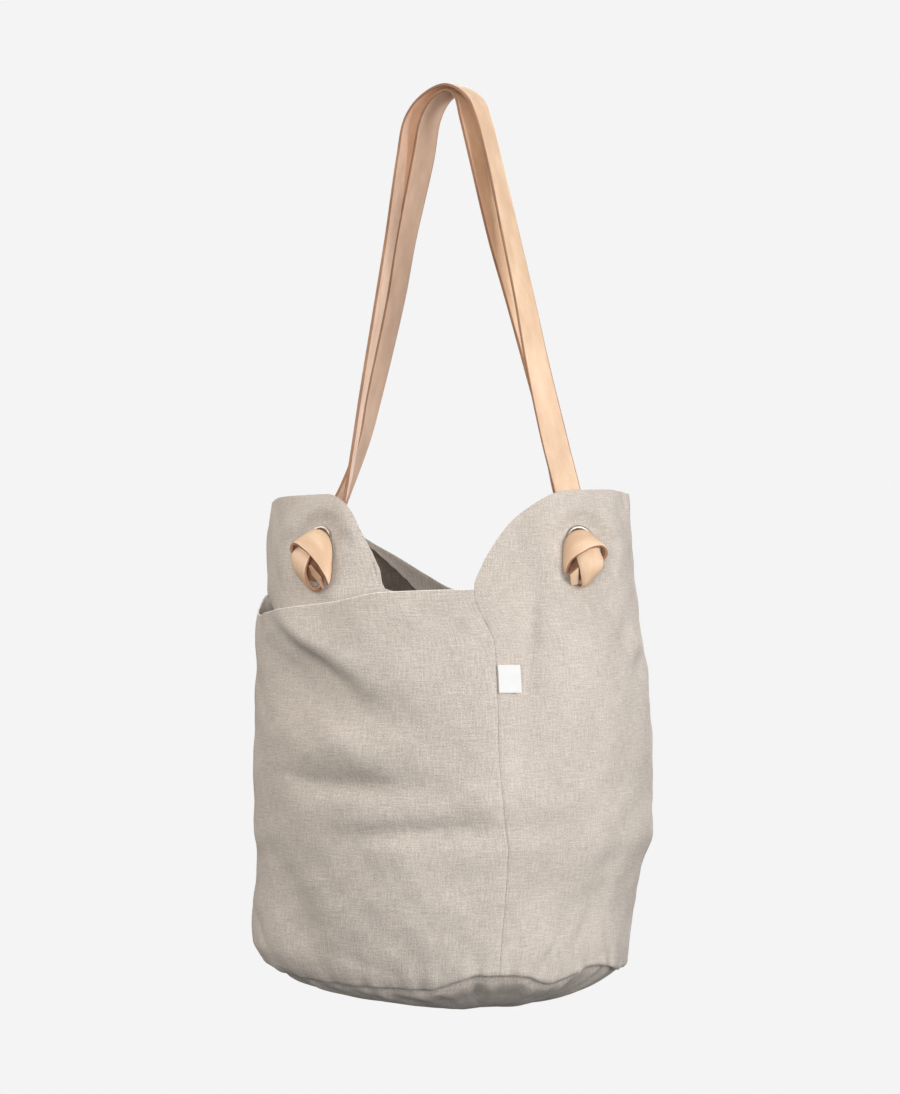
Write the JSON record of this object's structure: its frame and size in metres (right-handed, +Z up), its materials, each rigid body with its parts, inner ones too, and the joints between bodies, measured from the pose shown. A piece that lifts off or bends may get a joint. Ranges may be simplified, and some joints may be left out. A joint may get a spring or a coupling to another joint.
{
  "type": "bucket bag",
  "caption": "Soft linen bucket bag with rounded ears, an outer slip pocket and knotted leather shoulder straps, hanging by its straps.",
  "frame": {"origin": "the hang point, under the crown of the inner strap where a hook or hand holds the bag", "axes": "+Z up, X from the left ear to the right ear, the front with the label towards -Y"},
  "size_m": [0.2982, 0.2311, 0.6794],
  "materials": {
    "linen": "matte, slubby plain weave",
    "leather": "smooth vegetable-tanned grain",
    "eyelet_metal": "plain nickel",
    "label_cloth": "plain woven tape"
  },
  "bodies": {
    "root": {"panel_right": "linen", "panel_left": "linen", "pocket": "linen", "base": "linen", "label_tab": "label_cloth", "eyelet_front_right": "eyelet_metal", "eyelet_front_left": "eyelet_metal", "eyelet_back_right": "eyelet_metal", "eyelet_back_left": "eyelet_metal", "strap_front": "leather", "strap_back": "leather"}
  },
  "joints": []
}
